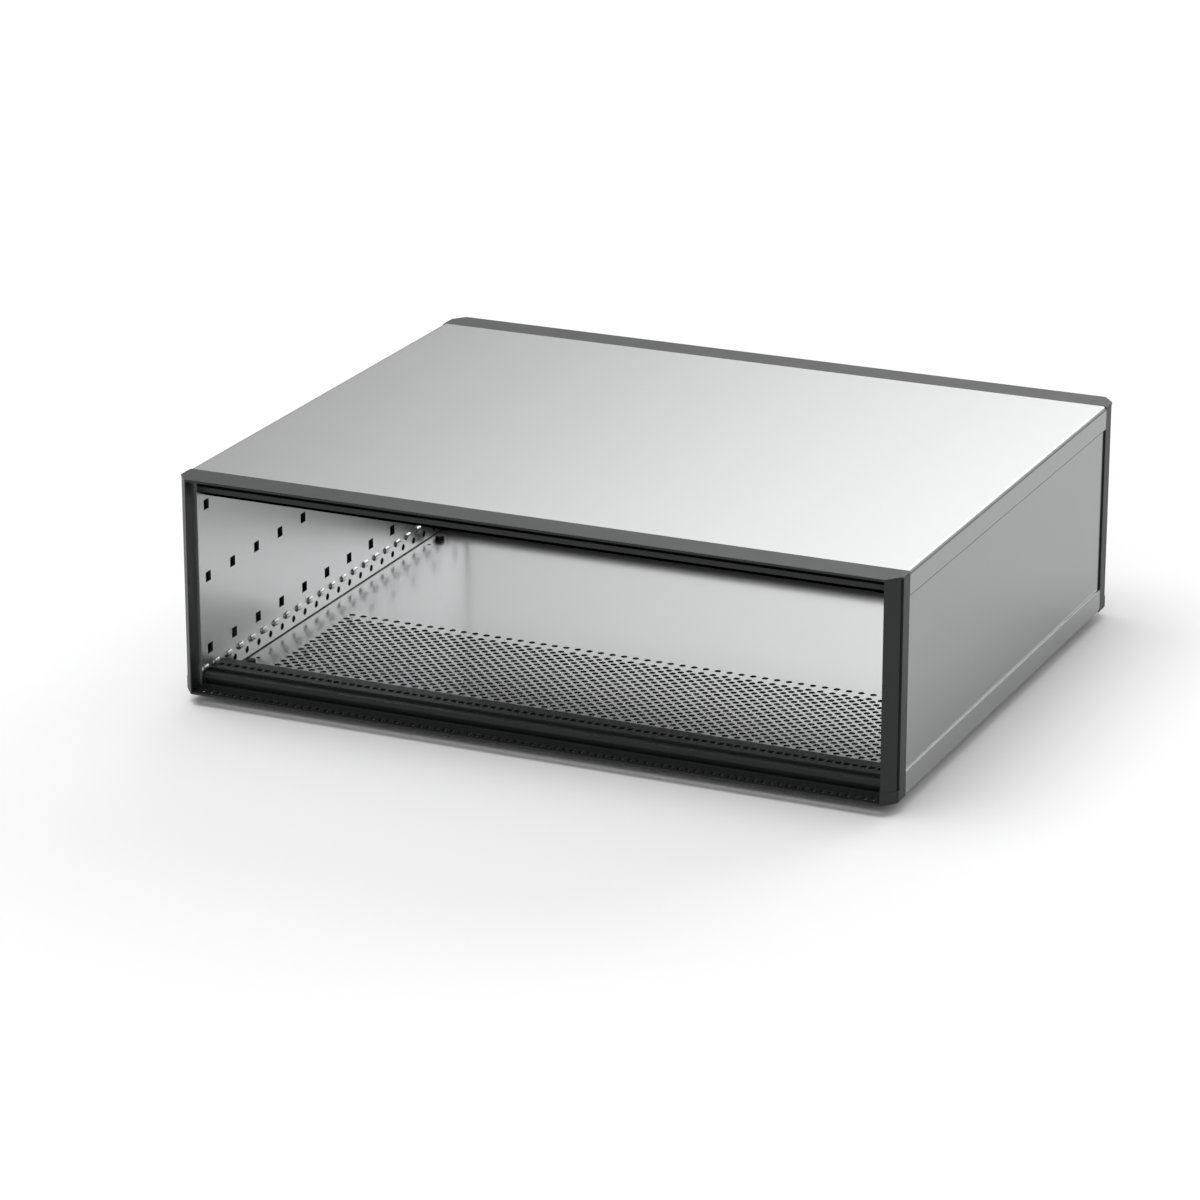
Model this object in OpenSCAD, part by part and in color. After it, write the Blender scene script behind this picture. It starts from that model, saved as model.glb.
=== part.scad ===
// Desktop enclosure for plug-in circuit modules.
// A shell of folded sheet stands between two dark frames, each made of two rails and two uprights.
// The front faces -Y, the width runs along X and the feet stand on z = 0. All sizes are in millimetres.

/* [Case] */
// Outside width over the side flanges
case_w = 448; // [300:1:520]
// Outside height of the frames, without the feet
case_h = 132.5; // [100:0.5:260]
// Depth of the covers between the two frames
shell_d = 336; // [260:1:460]
// Outside radius of the folds
corner_r = 2.5; // [2:0.1:5]
// Thickness of the covers and of the outer side panels
sheet_t = 1; // [0.8:0.1:1.5]
// Height of the side flanges of both covers
flange_h = 15; // [11:0.1:24]

/* [Side walls] */
// Distance from the outside of the case to the inside of a side plate
side_room = 9.4; // [8.5:0.1:12]
// Thickness of a side plate
plate_t = 1.5; // [0.8:0.1:2]
// Distance from the front of the frame to the front edge of a side plate
plate_front = 10.3; // [8:0.1:14]
// Gap between a side plate and the covers
plate_gap = 0.3; // [0.1:0.1:0.6]
// How far an outer side panel reaches behind each flange
panel_lap = 6; // [4:0.5:8]
// Open joint between an outer side panel and the frames
panel_joint = 1; // [0.5:0.5:5]
// Diameter of the spacers between a side plate and its outer panel
spacer_dia = 6.5; // [5:0.5:9]
// Bore of the spacers
spacer_bore = 3.2; // [2:0.1:4]
// Distance from the frames to the spacers
spacer_inset = 36.8; // [30:0.1:44]
// Height of the lower spacers above the underside of the frame
spacer_z = 21.7; // [19:0.1:28]

/* [Side plate holes] */
// Pitch of the square slots along the depth
slot_pitch = 29.9; // [20:0.1:60]
// Length of a slot along the depth
slot_l = 6.2; // [4:0.1:9]
// Height of a slot
slot_h = 6.2; // [4:0.1:9]
// Distance from the front of the frame to the first slots
slot_first = 21.2; // [14:0.1:28]
// Height of the lowest row of slots above the underside of the frame
slot_z = 22.5; // [21:0.1:30]
// Distance between the rows of slots
slot_row_pitch = 44.45; // [20:0.05:60]
// Diameter of the round holes in the lower row
plain_dia = 4.3; // [3:0.1:5]
// Height of the lower row above the underside of the frame
plain_z = 6.4; // [5:0.1:8]
// Distance from the front of the frame to the first openings of the upper row
catch_first = 9.9; // [8:0.1:14]
// Height of the upper row above the underside of the frame
catch_z = 11.8; // [11:0.1:14]
// Height of an opening of the upper row at its front end
catch_h = 3.6; // [2:0.1:4.4]
// Height of such an opening at its rear end
catch_end = 0.8; // [0.4:0.1:1.6]
// Length of such an opening
catch_l = 6.5; // [4:0.1:9]

/* [Frames] */
// Depth of each frame outside the covers
trim_d = 19.7; // [16:0.1:24]
// Thickness of the lip that closes a frame at its top and bottom
lip_t = 1.4; // [1:0.1:2]
// Radius of the outer edges of a frame
frame_r = 1; // [0.5:0.1:3]
// Width of the slanted outer face of a frame corner
chamfer_w = 7.2; // [4:0.1:7.5]
// Depth of the slanted outer face of a frame corner
chamfer_d = 9; // [4:0.1:12]
// Height of the corner blocks on the bottom rails
corner_h = 7.5; // [4:0.5:14]
// Width of the shadow groove at the end of the slanted face
shadow_w = 2.1; // [0.6:0.1:3]
// Depth of the shadow groove
shadow_d = 1.6; // [0.4:0.1:2]

/* [Rails] */
// Depth of the panel recess in front of a rail wall
recess_d = 11; // [8:0.5:12]
// Height of a rail wall above the outside of the frame
wall_h = 10.2; // [9:0.1:14]
// Thickness of a rail wall
wall_t = 1.8; // [1.2:0.1:2.5]
// Height of the groove in a rail wall
groove_h = 3.8; // [2:0.1:4.5]
// Height of the middle of that groove above the outside of the frame
groove_z = 5.3; // [4.8:0.1:5.5]
// Depth of the channel behind the groove
channel_d = 3.2; // [2:0.1:4]
// Height of the channel behind the groove
channel_h = 5.6; // [4.6:0.1:6]
// Rise of the guide ledge above the rail wall
ledge_rise = 1.2; // [0.3:0.1:2]
// Reach of a rail inside the covers
rail_reach = 15.7; // [12:0.1:24]
// Walls of the hollow chamber in a rail
chamber_t = 1.8; // [1.2:0.1:2.2]
// Width of the solid back of a rail, which takes the end screws
rail_back = 6.5; // [6:0.5:8]
// Width of the land on top of a rail wall
land_w = 4.7; // [3:0.1:6]
// Width of the trough between that land and the guide ledge
trough_w = 2.8; // [1:0.1:4]
// Depth of the trough
trough_d = 0.8; // [0.3:0.1:1]

/* [Rail holes] */
// Pitch of the hole rows in the rails
hole_pitch = 5.08; // [4:0.01:10]
// Width of a guide hole along the rail
guide_w = 3.2; // [2:0.1:3.6]
// Length of a guide hole across the rail
guide_l = 3.6; // [2:0.1:4]
// Distance from the front edge of the ledge to the guide holes
guide_inset = 7.2; // [5:0.1:8]
// Shift of the guide holes along the rail against the vent holes
guide_shift = 1; // [0:0.1:2.5]
// Width of a vent hole in the bottom lip
vent_w = 2.8; // [2:0.1:3.6]
// Length of a vent hole in the bottom lip
vent_l = 4.4; // [2:0.1:5]
// Distance from the front of the frame to the vent holes
vent_inset = 5.2; // [3:0.1:6]

/* [Perforated floor] */
// Pitch of the perforation across the case
perf_pitch_x = 7.62; // [6:0.01:16]
// Pitch of the perforation along the depth
perf_pitch_y = 7.5; // [6:0.1:16]
// Diameter of a perforation
perf_dia = 4; // [2:0.1:4.4]
// Plain margin beside the perforation
perf_margin = 29.5; // [24:0.5:60]
// Distance from the front edge of the bottom cover to the first row
perf_front = 43.4; // [26:0.1:60]
// Rows of perforation
perf_rows = 14; // [4:1:18]

/* [Feet] */
// Height of the feet below the frames
foot_h = 7; // [4:0.5:20]
// Diameter of a foot
foot_dia = 12; // [10:0.5:14]
// Rounding at the lower edge of a foot
foot_round = 1.5; // [0.5:0.1:3]
// Distance from the outside of the case to the middle of a foot
foot_side = 16.8; // [15:0.1:20]
// Distance from the front edge of the bottom cover to the front feet
foot_front = 37; // [30:0.5:60]
// Distance from the rear edge of the bottom cover to the rear feet
foot_rear = 42.5; // [30:0.5:60]
// Diameter of the spigot on top of a foot
spigot_dia = 3; // [2:0.1:3.4]
// Diameter of the clip on a spigot
clip_dia = 6; // [4.5:0.1:8]
// Height of the clip above the floor
clip_h = 3.2; // [2:0.1:8]
// Diameter of the small hole beside each clip
pilot_dia = 2.6; // [1.5:0.1:3]
// Distance from a clip to its small hole, towards the middle of the case
pilot_gap = 12; // [6:0.1:16]
// Distance from a clip to its small hole, towards the side of the case
pilot_out = 1.7; // [0:0.1:3]

/* [Fasteners] */
// Diameter of the rail screws
screw_dia = 3.2; // [2.5:0.1:3.4]
// Length of a rail screw in its rail
screw_l = 10; // [6:0.5:20]
// Diameter of a screw head
head_dia = 7; // [5:0.1:7.4]
// Height of a screw head
head_h = 2.4; // [1.5:0.1:2.8]
// Width across the flats of the drive in a screw head
drive_w = 2.5; // [1.5:0.1:3]
// Gap all round a screw or a spigot in its hole
hole_gap = 0.1; // [0.05:0.01:0.3]

/* [Hidden] */

// Circles and bores are true curves
$fn = 48;
// Overlap of a cutting tool past the face that it cuts
past = 1;

// Places across the width, measured from the middle plane
half_w = case_w / 2;
half_d = shell_d / 2 + trim_d;
plate_in = half_w - side_room;
plate_out = plate_in + plate_t;
panel_out = half_w - sheet_t;
panel_in = panel_out - sheet_t;
upright_in = plate_out;

// Heights above the underside of the frames
floor_top = sheet_t;
ledge_h = wall_h + ledge_rise;
plate_bottom = max(floor_top, lip_t) + plate_gap;
plate_top = case_h - plate_bottom;
bottom_flange_top = flange_h;
top_flange_bottom = case_h - flange_h;
screw_z = (floor_top + ledge_h) / 2;

// Depths behind the front of the frame
land_end = recess_d + land_w;
ledge_start = land_end + trough_w;
rail_d = trim_d + rail_reach;
screw_u = rail_d - rail_back / 2;
chamber_end = rail_d - rail_back;
guide_u = ledge_start + guide_inset;

// Hole rows: as many whole pitches as fit
hole_count = floor(2 * plate_in / hole_pitch);
slot_rows = floor((plate_top - slot_z - slot_h) / slot_row_pitch) + 1;
slot_count = floor((2 * half_d - 2 * slot_first) / slot_pitch) + 1;
hole_step = slot_pitch / 2;
plain_first = slot_first + slot_pitch;
plain_count = floor((2 * half_d - 2 * plain_first) / hole_step) + 1;
catch_count = floor((2 * half_d - recess_d - catch_first - hole_step / 2) / hole_step) + 1;
perf_cols = floor((case_w - 2 * perf_margin) / perf_pitch_x - 1 / 2) + 1;

// Finishes
dark_metal = "#2a2c2c";
satin_metal = "#c3c5c6";
dark_plastic = "#1c1d1e";
bright_metal = "#b4b6b8";

// Whole part lifted onto its feet
module stand() {
    translate([0, 0, foot_h]) children();
}

// Copies the front shape to the rear
module rearward(rear) {
    mirror([0, rear ? 1 : 0, 0]) children();
}

// Copies the right shape to the left
module sideways(left) {
    mirror([left ? 1 : 0, 0, 0]) children();
}

// Turns a shape for the bottom of the case over to the top
module topward(top) {
    translate([0, 0, top ? case_h : 0]) mirror([0, 0, top ? 1 : 0]) children();
}

// Extrudes an outline drawn in X and Z along the depth, centred
module along_depth(length) {
    rotate([90, 0, 0]) linear_extrude(length, center = true) children();
}

// Extrudes an outline drawn in depth and height across the width, centred
module along_width(length) {
    translate([0, -half_d, 0]) rotate([90, 0, 90]) linear_extrude(length, center = true) children();
}

// Rectangle with round corners, centred across and standing on its lower edge
module round_outline(w, h, r) {
    translate([-w / 2, r]) square([w, h - 2 * r]);
    translate([-w / 2 + r, 0]) square([w - 2 * r, h]);
    for (x = [-1, 1], z = [r, h - r])
        translate([x * (w / 2 - r), z]) circle(r);
}

// Section of a folded cover: a sheet with a flange at each side, drawn for the bottom
module cover_section() {
    intersection() {
        difference() {
            round_outline(case_w, 2 * flange_h, corner_r);
            translate([0, sheet_t])
                round_outline(case_w - 2 * sheet_t, 2 * flange_h, corner_r - sheet_t);
        }
        translate([-half_w, 0]) square([case_w, flange_h]);
    }
}

// Centres of the perforation in its main rows, a quarter pitch left of the middle.
// Rows between them, a quarter pitch right of the middle, would complete it.
function perf_points() = [for (j = [0 : perf_rows - 1], i = [0 : perf_cols - 1])
    [(i - (perf_cols - 1) / 2 - 1 / 4) * perf_pitch_x, perf_front - shell_d / 2 + j * perf_pitch_y]];

// Centre of a foot, seen from above
function foot_place(rear, left) = [
    (left ? -1 : 1) * (half_w - foot_side),
    rear ? shell_d / 2 - foot_rear : foot_front - shell_d / 2
];

module top_cover() {
    color(satin_metal)
        stand() topward(true) along_depth(shell_d) cover_section();
}

// Floor of the bottom cover between its folds, with the perforation and the holes for the feet
module floor_outline() {
    difference() {
        square([case_w - 2 * corner_r, shell_d], center = true);
        for (p = perf_points())
            translate(p) circle(d = perf_dia);
        for (rear = [false, true], left = [false, true])
            translate(foot_place(rear, left)) {
                circle(d = spigot_dia + 2 * hole_gap);
                translate([(left ? -1 : 1) * pilot_out, (rear ? -1 : 1) * pilot_gap])
                    circle(d = pilot_dia);
            }
    }
}

module bottom_cover() {
    color(satin_metal) stand() {
        linear_extrude(sheet_t) floor_outline();
        along_depth(shell_d) difference() {
            cover_section();
            translate([corner_r - half_w, -past]) square([case_w - 2 * corner_r, flange_h + 2 * past]);
        }
    }
}

// Outer side panel, lapped behind the flanges of both covers
module side_panel(left) {
    low = bottom_flange_top - panel_lap;
    high = top_flange_bottom + panel_lap;
    length = shell_d - 2 * panel_joint;
    color(satin_metal) stand() sideways(left)
        translate([panel_in, -length / 2, low]) cube([sheet_t, length, high - low]);
}

// Places in depth and height of the lower row, and of the front ends of the upper row behind the recess
function plain_points() = [for (i = [0 : plain_count - 1]) [plain_first + i * hole_step, plain_z]];
function catch_points() = [for (i = [0 : catch_count - 1])
    [max(recess_d + plate_gap, catch_first + i * hole_step), catch_z]];

// Outline of a side plate with its slots and hole rows, drawn in depth and height
module plate_outline() {
    difference() {
        translate([plate_front, plate_bottom])
            square([2 * (half_d - plate_front), plate_top - plate_bottom]);
        for (i = [0 : slot_count - 1], row = [0 : slot_rows - 1])
            translate([slot_first + i * slot_pitch, slot_z + row * slot_row_pitch])
                square([slot_l, slot_h], center = true);
        for (p = plain_points())
            translate(p) circle(d = plain_dia);
        for (p = catch_points())
            translate(p) polygon([
                [0, -catch_h / 2], [catch_l, -catch_end / 2], [catch_l, catch_end / 2], [0, catch_h / 2]
            ]);
        for (rear = [false, true], top = [false, true])
            translate([rear ? 2 * half_d - screw_u : screw_u, top ? case_h - screw_z : screw_z])
                circle(d = screw_dia + 2 * hole_gap);
    }
}

module side_plate(left) {
    color(satin_metal) stand() sideways(left)
        translate([(plate_in + plate_out) / 2, 0, 0]) along_width(plate_t) plate_outline();
}

// Outline of a frame seen from above, with its slanted outer corners
module frame_plan() {
    polygon([
        [-half_w + chamfer_w, 0], [half_w - chamfer_w, 0], [half_w, chamfer_d], [half_w, trim_d],
        [-half_w, trim_d], [-half_w, chamfer_d]
    ]);
}

// Slice of the front frame between two heights, before it is divided into pieces
module frame_slice(low, high) {
    intersection() {
        translate([0, -half_d, low]) linear_extrude(high - low) frame_plan();
        along_depth(2 * half_d + past) round_outline(case_w, case_h, frame_r);
    }
}

// Outline of the right upright seen from above: its inside lies on the side plate
module upright_plan() {
    intersection() {
        frame_plan();
        translate([upright_in, 0]) square([half_w - upright_in, trim_d]);
    }
}

// Section of a rail behind its lip; its rear part lies on the sheet of a cover
module rail_section() {
    difference() {
        polygon([
            [recess_d, 0], [trim_d, 0], [trim_d, sheet_t], [rail_d, sheet_t], [rail_d, ledge_h],
            [ledge_start, ledge_h], [ledge_start, wall_h - trough_d], [land_end, wall_h - trough_d],
            [land_end, wall_h], [recess_d, wall_h]
        ]);
        translate([recess_d - past, groove_z - groove_h / 2]) square([wall_t + 2 * past, groove_h]);
        translate([recess_d + wall_t, groove_z - channel_h / 2]) square([channel_d, channel_h]);
        translate([ledge_start + chamber_t, sheet_t + chamber_t])
            square([chamber_end - ledge_start - chamber_t, ledge_h - sheet_t - 2 * chamber_t]);
    }
}

// One rail with its lip, drawn for the bottom front
module rail_body(vented) {
    difference() {
        union() {
            frame_slice(0, lip_t);
            along_width(2 * plate_in) rail_section();
            if (vented)
                for (left = [false, true]) sideways(left) intersection() {
                    frame_slice(0, corner_h);
                    translate([0, -half_d, 0]) linear_extrude(corner_h) upright_plan();
                }
        }
        for (i = [0 : hole_count - 1])
            translate([(i - (hole_count - 1) / 2) * hole_pitch + guide_shift, guide_u - half_d, ledge_h])
                cube([guide_w, guide_l, 2 * chamber_t + past], center = true);
        if (vented)
            for (i = [0 : hole_count - 1])
                translate([(i - (hole_count - 1) / 2) * hole_pitch, vent_inset - half_d, lip_t / 2])
                    cube([vent_w, vent_l, lip_t + 2 * past], center = true);
        for (left = [false, true])
            sideways(left) translate([plate_in, screw_u - half_d, screw_z]) rotate([0, 90, 0])
                cylinder(d = screw_dia + 2 * hole_gap, h = 2 * (screw_l + past), center = true);
    }
}

module rail(rear, top) {
    color(dark_metal) stand() topward(top) rearward(rear) rail_body(!top);
}

// Upright between the corner block of the bottom rail and the lip of the top rail
module upright(rear, left) {
    color(dark_metal) stand() rearward(rear) sideways(left) difference() {
        intersection() {
            frame_slice(corner_h, case_h - lip_t);
            translate([0, -half_d, 0]) linear_extrude(case_h) upright_plan();
        }
        translate([half_w - shadow_d, chamfer_d - shadow_w / 2 - half_d, corner_h - past])
            cube([shadow_d + past, shadow_w, case_h]);
    }
}

// Foot below the bottom cover with a spigot through it
module foot(rear, left) {
    color(dark_plastic) translate(foot_place(rear, left)) {
        rotate_extrude() {
            square([foot_dia / 2 - foot_round, foot_h]);
            translate([0, foot_round]) square([foot_dia / 2, foot_h - foot_round]);
            translate([foot_dia / 2 - foot_round, foot_round]) circle(foot_round);
        }
        cylinder(d = spigot_dia, h = foot_h + floor_top + clip_h);
    }
}

// Round clip that holds a foot from inside
module foot_clip(rear, left) {
    color(dark_plastic) stand() translate(foot_place(rear, left)) difference() {
        translate([0, 0, floor_top]) cylinder(d = clip_dia, h = clip_h);
        translate([0, 0, floor_top - past]) cylinder(d = spigot_dia + 2 * hole_gap, h = clip_h + 2 * past);
    }
}

// Screws that hold the rails between the side plates, their heads behind the plates
module rail_screws() {
    color(bright_metal) stand()
        for (rear = [false, true], top = [false, true], left = [false, true])
            topward(top) rearward(rear) sideways(left)
                translate([plate_out, screw_u - half_d, screw_z]) rotate([0, 90, 0]) difference() {
                    union() {
                        translate([0, 0, -plate_t - screw_l]) cylinder(d = screw_dia, h = plate_t + screw_l);
                        cylinder(d = head_dia, h = head_h);
                    }
                    translate([0, 0, head_h / 2]) cylinder(d = drive_w / cos(30), h = head_h, $fn = 6);
                }
}

// Spacers that carry the outer side panels on the side plates
module panel_spacers() {
    color(bright_metal) stand()
        for (rear = [false, true], top = [false, true], left = [false, true])
            topward(top) rearward(rear) sideways(left)
                translate([plate_out, spacer_inset - shell_d / 2, spacer_z]) rotate([0, 90, 0])
                    difference() {
                        cylinder(d = spacer_dia, h = panel_in - plate_out);
                        translate([0, 0, -past])
                            cylinder(d = spacer_bore, h = panel_in - plate_out + 2 * past);
                    }
}

top_cover();
bottom_cover();
side_panel(true);  // left_side_panel
side_panel(false);  // right_side_panel
side_plate(true);  // left_side_plate
side_plate(false);  // right_side_plate
rail(false, true);  // front_top_rail
rail(false, false);  // front_bottom_rail
rail(true, true);  // rear_top_rail
rail(true, false);  // rear_bottom_rail
upright(false, true);  // front_left_upright
upright(false, false);  // front_right_upright
upright(true, true);  // rear_left_upright
upright(true, false);  // rear_right_upright
foot(false, true);  // front_left_foot
foot(false, false);  // front_right_foot
foot(true, true);  // rear_left_foot
foot(true, false);  // rear_right_foot
foot_clip(false, true);  // front_left_foot_clip
foot_clip(false, false);  // front_right_foot_clip
foot_clip(true, true);  // rear_left_foot_clip
foot_clip(true, false);  // rear_right_foot_clip
rail_screws();
panel_spacers();
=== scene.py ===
"""Looks of a desktop electronics enclosure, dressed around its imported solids.

Lengths are in metres, in the frame of the solids: the width runs along X, the front faces -Y
and the feet stand on z = 0.
"""

import math

import bmesh
import bpy
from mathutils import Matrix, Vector


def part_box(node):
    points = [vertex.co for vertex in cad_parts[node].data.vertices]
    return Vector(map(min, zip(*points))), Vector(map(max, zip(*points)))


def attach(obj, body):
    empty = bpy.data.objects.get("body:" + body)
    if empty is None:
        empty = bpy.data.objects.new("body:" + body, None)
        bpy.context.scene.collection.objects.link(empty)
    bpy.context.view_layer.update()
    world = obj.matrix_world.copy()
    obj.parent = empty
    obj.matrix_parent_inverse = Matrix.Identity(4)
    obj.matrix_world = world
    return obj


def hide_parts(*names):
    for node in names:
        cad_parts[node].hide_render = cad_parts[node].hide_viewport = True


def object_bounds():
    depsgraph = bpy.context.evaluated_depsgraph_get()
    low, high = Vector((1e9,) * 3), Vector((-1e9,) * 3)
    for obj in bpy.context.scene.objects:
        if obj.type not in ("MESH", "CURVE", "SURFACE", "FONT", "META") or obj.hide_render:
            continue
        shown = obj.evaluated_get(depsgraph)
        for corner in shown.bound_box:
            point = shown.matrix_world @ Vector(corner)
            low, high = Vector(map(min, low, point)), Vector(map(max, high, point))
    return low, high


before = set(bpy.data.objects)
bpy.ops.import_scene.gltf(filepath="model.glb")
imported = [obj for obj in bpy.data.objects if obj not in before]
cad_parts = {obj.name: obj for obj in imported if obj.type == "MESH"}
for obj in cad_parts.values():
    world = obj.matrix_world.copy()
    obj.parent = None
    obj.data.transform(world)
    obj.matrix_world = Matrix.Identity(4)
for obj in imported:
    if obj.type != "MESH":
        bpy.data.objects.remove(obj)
CAD_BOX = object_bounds()

MM = 0.001
BODY = "root"

# Perforated floor: the rows of holes between the main rows of the solid, a quarter pitch right of the middle
PERF_PITCH_X = 7.62 * MM
PERF_PITCH_Y = 7.5 * MM
PERF_DIA = 4.0 * MM
PERF_FRONT = 43.4 * MM
PERF_COLUMNS = 51
PERF_ROWS_BETWEEN = 12
PERF_SIDES = 16
PUNCH_LENGTH = 6 * MM

# Beads pressed into the side plates over the openings of the upper row, placed by their round front ends
BEAD_STEP = 14.95 * MM
BEAD_FIRST = 11.1 * MM
BEAD_LIMIT = 12.7 * MM
BEAD_COUNT = 24
BEAD_RISE = 11.8 * MM
BEAD_HALF_SIZE = (1.3 * MM, 2.2 * MM, 2.2 * MM)
BEAD_STRETCH = 3.6 * MM
BEAD_SEGMENTS = 12
BEAD_RINGS = 7

# Joining of loose triangles, and which faces count as flat or as parts of one curve
JOIN = 0.002 * MM
FLAT_ANGLE = math.radians(0.5)
FLAT_LIMIT = math.cos(math.radians(0.4))
SMOOTH_LIMIT = math.cos(math.radians(34))

# Edge rounding
EDGE_ANGLE = math.radians(40)
EDGE_SEGMENTS = 2
SHEET_EDGE = 0.15 * MM
FRAME_EDGE = 0.3 * MM
FLANGE_LENGTH = 300 * MM
LOWER_FLANGE_EDGE = 0.18 * MM
TOP_FLANGE_EDGE = 0.95 * MM
TOP_FLANGE_SEGMENTS = 4

# Tests that pick the faces of a finish: how far a face leans, and how far it lies from the sheet's rim
BEND_START = 0.50
BEND_END = 0.985
RIM_LEAN = -0.1
WALL_LEAN = 0.3
HOLE_TO_SIDE = 5 * MM
HOLE_TO_RIM = 1 * MM

# Camera fitted to the photograph
CAMERA_PLACE = (1.07528, -2.47110, 0.98143)
CAMERA_TILT = math.radians(70.681)
CAMERA_TURN = math.radians(24.245)
CAMERA_LENS = 142.335
CAMERA_SENSOR = 36.0
CAMERA_REACH = 60.0

# Stage: the floor is paler to the camera than as a reflector of light
FLOOR_SIZE = 14.0
FLOOR_PALE = 0.92
FLOOR_MATT = 0.80

# Plain sky, darker near the horizon and most of all on the right
SKY = 0.66
HORIZON = 0.45
HORIZON_RISE = (0.10, 0.75)
HORIZON_RIGHT = (0.1, 0.6)

# Low bright window behind the case, whose soft left edge leans to the left
# and which grows brighter to the right
WINDOW = 4.2
WINDOW_MORE = 2.3
WINDOW_MORE_RISE = (-0.05, 0.30)
WINDOW_EDGE = math.radians(24.0)
WINDOW_FADE = 0.198
WINDOW_LEAN = 2.4
WINDOW_HEIGHT = 0.304
WINDOW_LOW = (0.06, 0.22)
WINDOW_HIGH = (0.50, 0.65)
WINDOW_RIGHT = (0.70, 0.88)

# Weak low window in front of the case
FRONT = 0.6
FRONT_SPAN = (0.2, 0.7)
FRONT_HIGH = (0.45, 0.75)

# Wide lamp overhead, a little to the left
LAMP = 1.5
LAMP_HEADING = (0.24, 0.10, -1.0)
LAMP_SPREAD = math.radians(50.0)


class Value:
    """One output of a shader node; arithmetic on it adds Math nodes."""

    def __init__(self, finish, socket):
        self.finish = finish
        self.socket = socket

    def __add__(self, other):
        return self.finish.maths("ADD", self, other)

    def __radd__(self, other):
        return self.finish.maths("ADD", other, self)

    def __sub__(self, other):
        return self.finish.maths("SUBTRACT", self, other)

    def __rsub__(self, other):
        return self.finish.maths("SUBTRACT", other, self)

    def __mul__(self, other):
        return self.finish.maths("MULTIPLY", self, other)

    def __rmul__(self, other):
        return self.finish.maths("MULTIPLY", other, self)


class Finish:
    """A node tree of a material or of the world, filled by expressions."""

    def __init__(self, owner):
        self.owner = owner
        owner.use_nodes = True
        self.tree = owner.node_tree
        self.tree.nodes.clear()

    def node(self, kind, settings=None, inputs=None, output=0):
        """Adds a node with its settings and its socket values or links, and returns one output."""
        made = self.tree.nodes.new(kind)
        for name, value in (settings or {}).items():
            setattr(made, name, value)
        for name, value in (inputs or {}).items():
            socket = made.inputs[name]
            if isinstance(value, Value):
                self.tree.links.new(value.socket, socket)
            else:
                socket.default_value = value
        return Value(self, made.outputs[output]) if made.outputs else None

    def maths(self, operation, a, b):
        return self.node("ShaderNodeMath", {"operation": operation}, {0: a, 1: b})

    def object_place(self):
        return self.node("ShaderNodeTexCoord", output="Object")

    def noise(self, place, per_metre, detail=2.0):
        """Noise from 0 to 1 with that many features to a metre."""
        inputs = {"Vector": place, "Scale": per_metre, "Detail": detail}
        return self.node("ShaderNodeTexNoise", {"noise_dimensions": "3D"}, inputs)

    def shade(self, low, high, factor):
        """A colour between two colours; a Mix node's colour sockets share their names, so they go by number."""
        return self.node("ShaderNodeMix", {"data_type": "RGBA"}, {0: factor, 6: low, 7: high}, output=2)

    def ramp(self, value, low, high):
        """Rises smoothly from 0 at one value to 1 at another."""
        inputs = {"Value": value, "From Min": low, "From Max": high}
        return self.node("ShaderNodeMapRange", {"interpolation_type": "SMOOTHSTEP"}, inputs)

    def bump(self, height, distance, strength):
        return self.node("ShaderNodeBump", {}, {"Height": height, "Distance": distance, "Strength": strength})

    def surface(self, shader, output="ShaderNodeOutputMaterial"):
        self.node(output, {}, {"Surface": shader})


def material(name):
    return Finish(bpy.data.materials.new(name))


def satin_sheet(name, dark, bright, metal, roughness, coat):
    """Satin silver sheet: a soft metal sheen with a very fine grain and faint clouding."""
    f = material(name)
    place = f.object_place()
    cloud = f.noise(place, 28.0)
    grain = f.noise(place, 2600.0, 3.0)
    f.surface(f.node("ShaderNodeBsdfPrincipled", {}, {
        "Base Color": f.shade(dark, bright, cloud),
        "Metallic": metal,
        "Roughness": roughness + 0.02 * cloud + 0.03 * grain,
        "Coat Weight": coat,
        "Coat Roughness": 0.16,
        "Normal": f.bump(grain, 0.00002, 0.25),
    }))
    return f.owner


def outer_sheet():
    """Outside of the covers and the outer side panels."""
    return satin_sheet("outer_sheet", (0.262, 0.266, 0.268, 1), (0.276, 0.280, 0.282, 1), 0.62, 0.15, 0.0)


def inner_sheet():
    """Inside of the covers, duller under a thin clear coat."""
    return satin_sheet("inner_sheet", (0.237, 0.241, 0.243, 1), (0.249, 0.253, 0.255, 1), 0.8, 0.34, 0.5)


def plate_sheet():
    """Bare bright sheet of the inner side plates; its colour is partly the bright sheet and partly painted
    light, kept high for the light that falls on the plates from the rear right.
    """
    return satin_sheet("plate_sheet", (0.60, 0.605, 0.607, 1), (0.62, 0.625, 0.627, 1), 1.0, 0.28, 0.0)


def shaded_bend_sheet():
    """Outside of the top cover's bends: a darker, rougher copy of the outer sheet, painted shade that keeps the
    bends grey where they would mirror the bright window.
    """
    return satin_sheet("shaded_bend_sheet", (0.175, 0.177, 0.178, 1), (0.185, 0.187, 0.188, 1), 1.0, 0.5, 0.0)


def painted_shade_edge():
    """Near-black painted shade on the walls of punched holes and on the lower rim of the top cover's flanges,
    for the shade inside the holes and the shadow line under the flanges.
    """
    f = material("painted_shade_edge")
    grain = f.noise(f.object_place(), 1500.0, 2.0)
    f.surface(f.node("ShaderNodeBsdfPrincipled", {}, {
        "Base Color": f.shade((0.030, 0.030, 0.031, 1), (0.055, 0.056, 0.058, 1), grain),
        "Metallic": 0.4,
        "Roughness": 0.5 + 0.15 * grain,
    }))
    return f.owner


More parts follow.
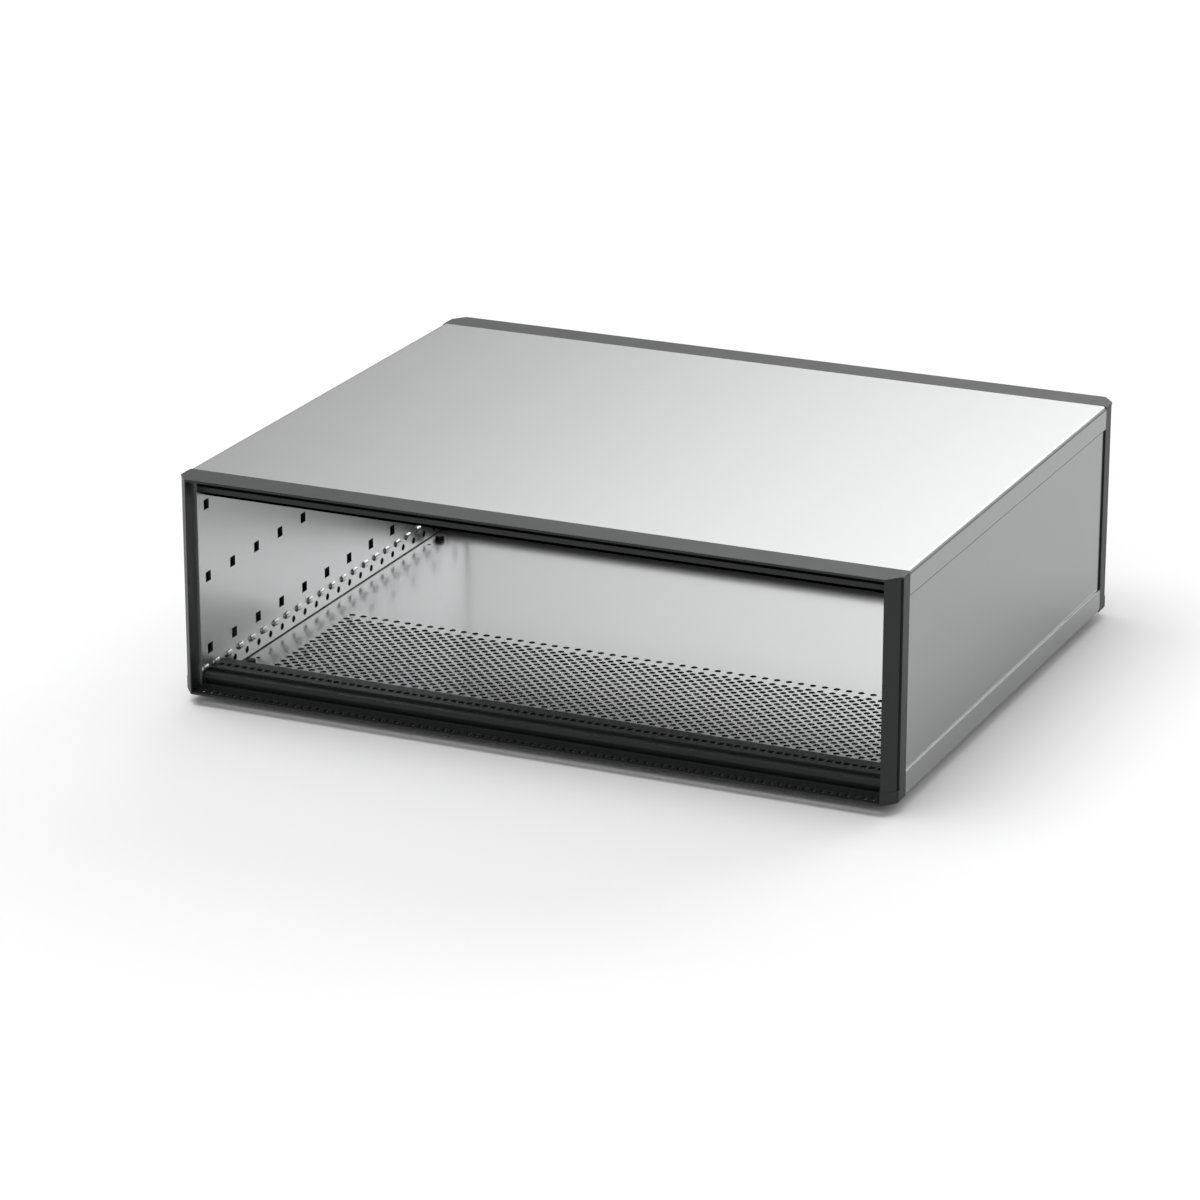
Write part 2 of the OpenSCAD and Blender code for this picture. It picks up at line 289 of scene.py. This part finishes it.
def dark_coat():
    """Dark fine-textured coat of the rails and uprights."""
    f = material("dark_coat")
    place = f.object_place()
    cloud = f.noise(place, 35.0)
    grain = f.noise(place, 3200.0, 3.0)
    f.surface(f.node("ShaderNodeBsdfPrincipled", {}, {
        "Base Color": f.shade((0.013, 0.015, 0.015, 1), (0.019, 0.021, 0.021, 1), grain),
        "Roughness": 0.40 + 0.06 * cloud + 0.06 * grain,
        "Specular IOR Level": 0.32,
        "Normal": f.bump(grain, 0.00003, 0.3),
    }))
    return f.owner


def foot_plastic():
    """Matt black moulded plastic."""
    f = material("foot_plastic")
    grain = f.noise(f.object_place(), 1800.0, 3.0)
    f.surface(f.node("ShaderNodeBsdfPrincipled", {}, {
        "Base Color": f.shade((0.010, 0.010, 0.011, 1), (0.016, 0.016, 0.017, 1), grain),
        "Roughness": 0.5 + 0.15 * grain,
        "Normal": f.bump(grain, 0.00004, 0.3),
    }))
    return f.owner


def bright_fastener():
    """Zinc-plated steel."""
    f = material("bright_fastener")
    cloud = f.noise(f.object_place(), 300.0)
    f.surface(f.node("ShaderNodeBsdfPrincipled", {}, {
        "Base Color": f.shade((0.46, 0.47, 0.48, 1), (0.56, 0.56, 0.56, 1), cloud),
        "Metallic": 1.0,
        "Roughness": 0.28 + 0.12 * cloud,
    }))
    return f.owner


def link(name, mesh):
    piece = bpy.data.objects.new(name, mesh)
    bpy.context.scene.collection.objects.link(piece)
    return piece


def joined_copy(node, flatten):
    """A copy of a solid's mesh with its loose triangles joined, and flat ones melted together if asked."""
    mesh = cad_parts[node].data.copy()
    shape = bmesh.new()
    shape.from_mesh(mesh)
    bmesh.ops.remove_doubles(shape, verts=shape.verts, dist=JOIN)
    if flatten:
        bmesh.ops.dissolve_limit(shape, angle_limit=FLAT_ANGLE, verts=shape.verts, edges=shape.edges)
    shape.to_mesh(mesh)
    shape.free()
    mesh.attributes.remove(mesh.attributes["custom_normal"])
    mesh.materials.clear()
    return link(node + "_dressed", mesh)


def made_plain(piece):
    """Turns a piece with modifiers into a plain mesh without them."""
    graph = bpy.context.evaluated_depsgraph_get()
    mesh = bpy.data.meshes.new_from_object(piece.evaluated_get(graph))
    piece.modifiers.clear()
    piece.data = mesh
    return piece


def round_edges(piece, width, flange_width=None):
    """Rounds the sharp edges of a piece by a small width, and its long flange edges by a width of their own."""
    widest = max(width, flange_width or 0.0)
    shape = bmesh.new()
    shape.from_mesh(piece.data)
    weight = shape.edges.layers.float.new("bevel_weight_edge")
    for edge in shape.edges:
        if edge.is_manifold and edge.calc_face_angle() > EDGE_ANGLE:
            flange = flange_width and edge.calc_length() > FLANGE_LENGTH
            edge[weight] = (flange_width if flange else width) / widest
    shape.to_mesh(piece.data)
    shape.free()
    rounding = piece.modifiers.new("edges", "BEVEL")
    rounding.width = widest
    rounding.segments = EDGE_SEGMENTS
    rounding.limit_method = "WEIGHT"
    return made_plain(piece)


def round_rim(piece, node):
    """Rounds the lower outer rim of the flanges of the top cover."""
    low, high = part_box(node)
    shape = bmesh.new()
    shape.from_mesh(piece.data)

    def on_rim(corner):
        return abs(corner.co.z - low.z) < JOIN and abs(abs(corner.co.x) - high.x) < JOIN

    rim = [edge for edge in shape.edges if all(on_rim(corner) for corner in edge.verts)]
    bmesh.ops.bevel(shape, geom=rim, offset=TOP_FLANGE_EDGE, offset_type="OFFSET",
                    segments=TOP_FLANGE_SEGMENTS, profile=0.5, affect="EDGES")
    shape.to_mesh(piece.data)
    shape.free()
    return piece


def flat_areas(shape):
    """The area of the flat region that each face belongs to."""
    area = {}
    for start in shape.faces:
        if start in area:
            continue
        region = [start]
        area[start] = 0.0
        for face in region:
            for edge in face.edges:
                for other in edge.link_faces:
                    if other not in area and other.normal.dot(start.normal) > FLAT_LIMIT:
                        area[other] = 0.0
                        region.append(other)
        whole = sum(face.calc_area() for face in region)
        for face in region:
            area[face] = whole
    return area


def smooth(piece):
    """Smooth shading over folds and rounds that leaves wide flat faces flat, and edges sharp."""
    piece.data.shade_smooth()
    shape = bmesh.new()
    shape.from_mesh(piece.data)
    area = flat_areas(shape)
    normals = []
    for face in shape.faces:
        for loop in face.loops:
            lean = Vector()
            for other in loop.vert.link_faces:
                if other.normal.dot(face.normal) > SMOOTH_LIMIT:
                    lean += other.normal * area[other]
            normals.append(lean.normalized())
    shape.free()
    piece.data.normals_split_custom_set(normals)


def dress(piece, node, finish, exceptions=()):
    """Puts a finish on a piece that stands for a solid, and others on the faces that their tests pick."""
    smooth(piece)
    mesh = piece.data
    mesh.materials.clear()
    mesh.materials.append(finish)
    for other, _ in exceptions:
        mesh.materials.append(other)
    for face in mesh.polygons:
        picked = [i for i, (_, picks) in enumerate(exceptions, 1) if picks(face.center, face.normal)]
        face.material_index = picked[-1] if picked else 0
    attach(piece, BODY)
    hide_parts(node)


class Tree:
    """A tree of geometry nodes with named inputs, which takes a mesh and gives one."""

    def __init__(self, name, numbers=(), counts=(), vectors=()):
        self.tree = bpy.data.node_groups.new(name, "GeometryNodeTree")
        self.socket("Geometry", "INPUT", "NodeSocketGeometry")
        kinds = {"NodeSocketFloat": numbers, "NodeSocketInt": counts, "NodeSocketVector": vectors}
        for kind, names in kinds.items():
            for title in names:
                self.socket(title, "INPUT", kind)
        self.socket("Geometry", "OUTPUT", "NodeSocketGeometry")
        self.given = self.tree.nodes.new("NodeGroupInput").outputs

    def socket(self, title, way, kind):
        self.tree.interface.new_socket(title, in_out=way, socket_type=kind)

    def add(self, kind, settings=None, inputs=None, output=0):
        """Adds a node with its settings and its socket values or links, and returns one output."""
        made = self.tree.nodes.new(kind)
        for name, value in (settings or {}).items():
            setattr(made, name, value)
        for name, value in (inputs or {}).items():
            self.feed(made.inputs[name], value)
        return made.outputs[output]

    def feed(self, socket, value):
        """Sets the value of a socket, or links one output or a list of them to it."""
        if isinstance(value, list):
            for output in value:
                self.feed(socket, output)
        elif isinstance(value, bpy.types.NodeSocket):
            self.tree.links.new(value, socket)
        else:
            socket.default_value = value

    def maths(self, operation, a, b):
        return self.add("ShaderNodeMath", {"operation": operation}, {0: a, 1: b})

    def finish(self, geometry, look):
        """Ends the tree in plain meshes with a finish."""
        plain = self.add("GeometryNodeRealizeInstances", {}, {"Geometry": geometry})
        coloured = self.add("GeometryNodeSetMaterial", {}, {"Geometry": plain, "Material": look})
        result = self.tree.nodes.new("NodeGroupOutput")
        self.tree.links.new(coloured, result.inputs[0])
        return self.tree


def punching_tree(finish):
    """Geometry nodes that punch the rows of holes between the main rows of the floor."""
    numbers = ("Pitch X", "Pitch Y", "Diameter", "Length")
    t = Tree("punched_rows", numbers, ("Columns", "Rows", "Sides"), ("Middle",))
    given = t.given
    field = t.add("GeometryNodeMeshGrid", {}, {
        "Size X": t.maths("MULTIPLY", t.maths("SUBTRACT", given["Columns"], 1.0), given["Pitch X"]),
        "Size Y": t.maths("MULTIPLY", t.maths("SUBTRACT", given["Rows"], 1.0), given["Pitch Y"]),
        "Vertices X": given["Columns"],
        "Vertices Y": given["Rows"],
    })
    places = t.add("GeometryNodeTransform", {}, {"Geometry": field, "Translation": given["Middle"]})
    punch = t.add("GeometryNodeMeshCylinder", {}, {
        "Vertices": given["Sides"],
        "Radius": t.maths("MULTIPLY", given["Diameter"], 0.5),
        "Depth": given["Length"],
    })
    punches = t.add("GeometryNodeInstanceOnPoints", {}, {"Points": places, "Instance": punch})
    punches = t.add("GeometryNodeRealizeInstances", {}, {"Geometry": punches})
    settings = {"operation": "DIFFERENCE", "solver": "MANIFOLD"}
    return t.finish(t.add("GeometryNodeMeshBoolean", settings, {0: given["Geometry"], 1: punches}), finish)


def bead_tree(finish):
    """Geometry nodes that add a row of pressed beads to a side plate: long domes with round ends."""
    counts = ("Count", "Segments", "Rings")
    t = Tree("pressed_beads", ("Step", "Limit", "Stretch"), counts, ("First", "Half size"))
    given = t.given
    position = t.add("GeometryNodeInputPosition")
    x, y, z = (t.add("ShaderNodeSeparateXYZ", {}, {"Vector": position}, axis) for axis in "XYZ")
    ball = t.add("GeometryNodeMeshUVSphere", {}, {
        "Segments": given["Segments"],
        "Rings": given["Rings"],
        "Radius": 1.0,
    })
    ball = t.add("GeometryNodeTransform", {}, {"Geometry": ball, "Rotation": (math.pi / 2, 0.0, 0.0)})
    ball = t.add("GeometryNodeTransform", {}, {"Geometry": ball, "Scale": given["Half size"]})
    bead = t.add("GeometryNodeSetPosition", {}, {
        "Geometry": ball,
        "Selection": t.maths("GREATER_THAN", y, 0.0),
        "Offset": t.add("ShaderNodeCombineXYZ", {}, {"Y": given["Stretch"]}),
    })
    row = t.add("GeometryNodeMeshLine", {"mode": "OFFSET"}, {
        "Count": given["Count"],
        "Start Location": given["First"],
        "Offset": t.add("ShaderNodeCombineXYZ", {}, {"Y": given["Step"]}),
    })
    kept = t.add("ShaderNodeCombineXYZ", {}, {"X": x, "Y": t.maths("MAXIMUM", y, given["Limit"]), "Z": z})
    row = t.add("GeometryNodeSetPosition", {}, {"Geometry": row, "Position": kept})
    beads = t.add("GeometryNodeInstanceOnPoints", {}, {"Points": row, "Instance": bead})
    return t.finish(t.add("GeometryNodeJoinGeometry", {}, {"Geometry": [given["Geometry"], beads]}), finish)


def with_nodes(piece, tree, values):
    """Runs a tree of geometry nodes over a piece, with its named inputs set, and leaves a plain mesh."""
    modifier = piece.modifiers.new(tree.name, "NODES")
    modifier.node_group = tree
    for item in tree.interface.items_tree:
        if item.item_type == "SOCKET" and item.in_out == "INPUT" and item.name in values:
            modifier[item.identifier] = values[item.name]
    return made_plain(piece)


def perforated_floor(finish):
    """Bottom cover with the whole perforation: main rows from the solid, the rows between from nodes."""
    low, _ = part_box("bottom_cover")
    first = low.y + PERF_FRONT + PERF_PITCH_Y / 2
    cover = round_edges(joined_copy("bottom_cover", flatten=False), 0.0, LOWER_FLANGE_EDGE)
    return with_nodes(cover, punching_tree(finish), {
        "Pitch X": PERF_PITCH_X,
        "Pitch Y": PERF_PITCH_Y,
        "Diameter": PERF_DIA,
        "Length": PUNCH_LENGTH,
        "Columns": PERF_COLUMNS,
        "Rows": PERF_ROWS_BETWEEN,
        "Sides": PERF_SIDES,
        "Middle": (PERF_PITCH_X / 4, first + (PERF_ROWS_BETWEEN - 1) * PERF_PITCH_Y / 2, low.z),
    })


def side_plate(node, tree, inward):
    """Side plate with its row of pressed beads."""
    low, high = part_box(node)
    face = high.x if inward > 0 else low.x
    front = CAD_BOX[0][1]
    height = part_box("bottom_cover")[0].z + BEAD_RISE
    return with_nodes(joined_copy(node, flatten=False), tree, {
        "Step": BEAD_STEP,
        "Limit": front + BEAD_LIMIT,
        "Stretch": BEAD_STRETCH,
        "Count": BEAD_COUNT,
        "Segments": BEAD_SEGMENTS,
        "Rings": BEAD_RINGS,
        "First": (face, front + BEAD_FIRST, height),
        "Half size": BEAD_HALF_SIZE,
    })


def shell():
    """Covers, outer side panels and inner side plates."""
    outer = outer_sheet()
    inner = inner_sheet()
    plain = plate_sheet()
    bend_shade = shaded_bend_sheet()
    edge = painted_shade_edge()
    middle = (CAD_BOX[0][2] + CAD_BOX[1][2]) / 2
    top_low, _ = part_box("top_cover")
    _, floor_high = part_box("bottom_cover")
    plate_low, plate_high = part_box("right_side_plate")

    def faces_inside(place, normal):
        return normal.x * place.x + normal.z * (place.z - middle) < -JOIN

    def outer_bend(place, normal):
        return BEND_START < abs(normal.x) < BEND_END and normal.z > 0 and place.x * normal.x > 0

    def flange_rim(place, normal):
        return normal.z < RIM_LEAN and place.z < top_low.z + TOP_FLANGE_EDGE

    def floor_hole(place, normal):
        clear = abs(place.x) < floor_high.x - HOLE_TO_SIDE and abs(place.y) < floor_high.y - HOLE_TO_RIM
        return clear and abs(normal.z) < WALL_LEAN

    def plate_hole(place, normal):
        within = plate_low.x + JOIN < abs(place.x) < plate_high.x - JOIN
        clear = plate_low.z + HOLE_TO_RIM < place.z < plate_high.z - HOLE_TO_RIM
        return within and clear and abs(place.y) < plate_high.y - HOLE_TO_RIM

    bottom = perforated_floor(outer)
    # Near-black painted shade goes on the walls of the floor's holes here, on the lower rim of the top cover's
    # flanges below, and on the walls of the plates' holes.
    dress(bottom, "bottom_cover", outer, ((inner, faces_inside), (edge, floor_hole)))
    top = round_edges(round_rim(joined_copy("top_cover", flatten=True), "top_cover"), SHEET_EDGE)
    # The outside of the bends gets a darker copy of the sheet as painted shade.
    finishes = ((inner, faces_inside), (bend_shade, outer_bend), (edge, flange_rim))
    dress(top, "top_cover", outer, finishes)
    for side, inward in (("left", 1.0), ("right", -1.0)):
        panel = round_edges(joined_copy(side + "_side_panel", flatten=True), SHEET_EDGE)
        dress(panel, side + "_side_panel", outer)
        # The plates' bright colour is partly painted light.
        plate = side_plate(side + "_side_plate", bead_tree(plain), inward)
        dress(plate, side + "_side_plate", plain, ((edge, plate_hole),))


def frames():
    """Rails and uprights at both ends."""
    finish = dark_coat()
    for end in ("front", "rear"):
        for part in ("top_rail", "bottom_rail", "left_upright", "right_upright"):
            node = end + "_" + part
            flat = part.endswith("upright")
            dress(round_edges(joined_copy(node, flatten=flat), FRAME_EDGE), node, finish)


def small_parts():
    """Feet with their clips, screws and spacers."""
    black = foot_plastic()
    zinc = bright_fastener()
    for end in ("front", "rear"):
        for side in ("left", "right"):
            for part in ("foot", "foot_clip"):
                node = end + "_" + side + "_" + part
                dress(joined_copy(node, flatten=False), node, black)
    for node in ("rail_screws", "panel_spacers"):
        dress(joined_copy(node, flatten=False), node, zinc)


def seen_directly(f):
    """One for camera, mirror and see-through rays, so that metal shows the same background as the camera."""
    direct = f.node("ShaderNodeLightPath", output="Is Camera Ray")
    mirrored = f.node("ShaderNodeLightPath", output="Is Glossy Ray")
    through = f.node("ShaderNodeLightPath", output="Is Transmission Ray")
    return f.maths("MAXIMUM", f.maths("MAXIMUM", direct, mirrored), through)


def stage_floor():
    """Pale floor that shows white where it is lit and keeps the shadow of the case."""
    shape = bmesh.new()
    bmesh.ops.create_grid(shape, x_segments=1, y_segments=1, size=FLOOR_SIZE / 2)
    mesh = bpy.data.meshes.new("floor")
    shape.to_mesh(mesh)
    shape.free()
    floor = link("floor", mesh)
    f = material("pale_floor")
    colour = FLOOR_MATT + (FLOOR_PALE - FLOOR_MATT) * seen_directly(f)
    f.surface(f.node("ShaderNodeBsdfDiffuse", {}, {"Color": colour}))
    mesh.materials.append(f.owner)


def sky():
    """Plain pale surroundings with a bright soft window behind the case and a weak one in front."""
    world = bpy.data.worlds.new("surroundings")
    bpy.context.scene.world = world
    f = Finish(world)
    heading = f.node("ShaderNodeTexCoord", output="Generated")
    right, back, up = (f.node("ShaderNodeSeparateXYZ", {}, {"Vector": heading}, output=axis) for axis in "XYZ")
    edge = right * math.cos(WINDOW_EDGE) + back * math.sin(WINDOW_EDGE) + WINDOW_LEAN * (up - WINDOW_HEIGHT)
    window = f.ramp(edge, -WINDOW_FADE, WINDOW_FADE) * f.ramp(back, *WINDOW_RIGHT)
    window = window * f.ramp(up, *WINDOW_LOW) * (1 - f.ramp(up, *WINDOW_HIGH))
    window = window * (WINDOW + WINDOW_MORE * f.ramp(right, *WINDOW_MORE_RISE))
    low = HORIZON * (1 - f.ramp(right, *HORIZON_RIGHT))
    plain = SKY * (low + (1 - low) * f.ramp(up, *HORIZON_RISE))
    front = FRONT * f.ramp(0 - back, *FRONT_SPAN) * (1 - f.ramp(up, *FRONT_HIGH))
    f.surface(f.node("ShaderNodeBackground", {}, {"Strength": plain + window + front}), "ShaderNodeOutputWorld")


def overhead_lamp():
    """A wide soft lamp far away, which lights the whole floor evenly."""
    lamp = bpy.data.lights.new("overhead", "SUN")
    lamp.energy = LAMP
    lamp.angle = LAMP_SPREAD
    stand = bpy.data.objects.new("overhead", lamp)
    stand.rotation_euler = Vector(LAMP_HEADING).to_track_quat("-Z", "Y").to_euler()
    bpy.context.scene.collection.objects.link(stand)


def camera():
    """Camera at the photograph's viewing angle."""
    eye = bpy.data.cameras.new("camera")
    eye.lens = CAMERA_LENS
    eye.sensor_width = CAMERA_SENSOR
    eye.clip_end = CAMERA_REACH
    stand = bpy.data.objects.new("camera", eye)
    stand.location = CAMERA_PLACE
    stand.rotation_euler = (CAMERA_TILT, 0.0, CAMERA_TURN)
    bpy.context.scene.collection.objects.link(stand)
    bpy.context.scene.camera = stand


bpy.context.scene.view_settings.view_transform = "Standard"
camera()
shell()
frames()
small_parts()
stage_floor()
sky()
overhead_lamp()
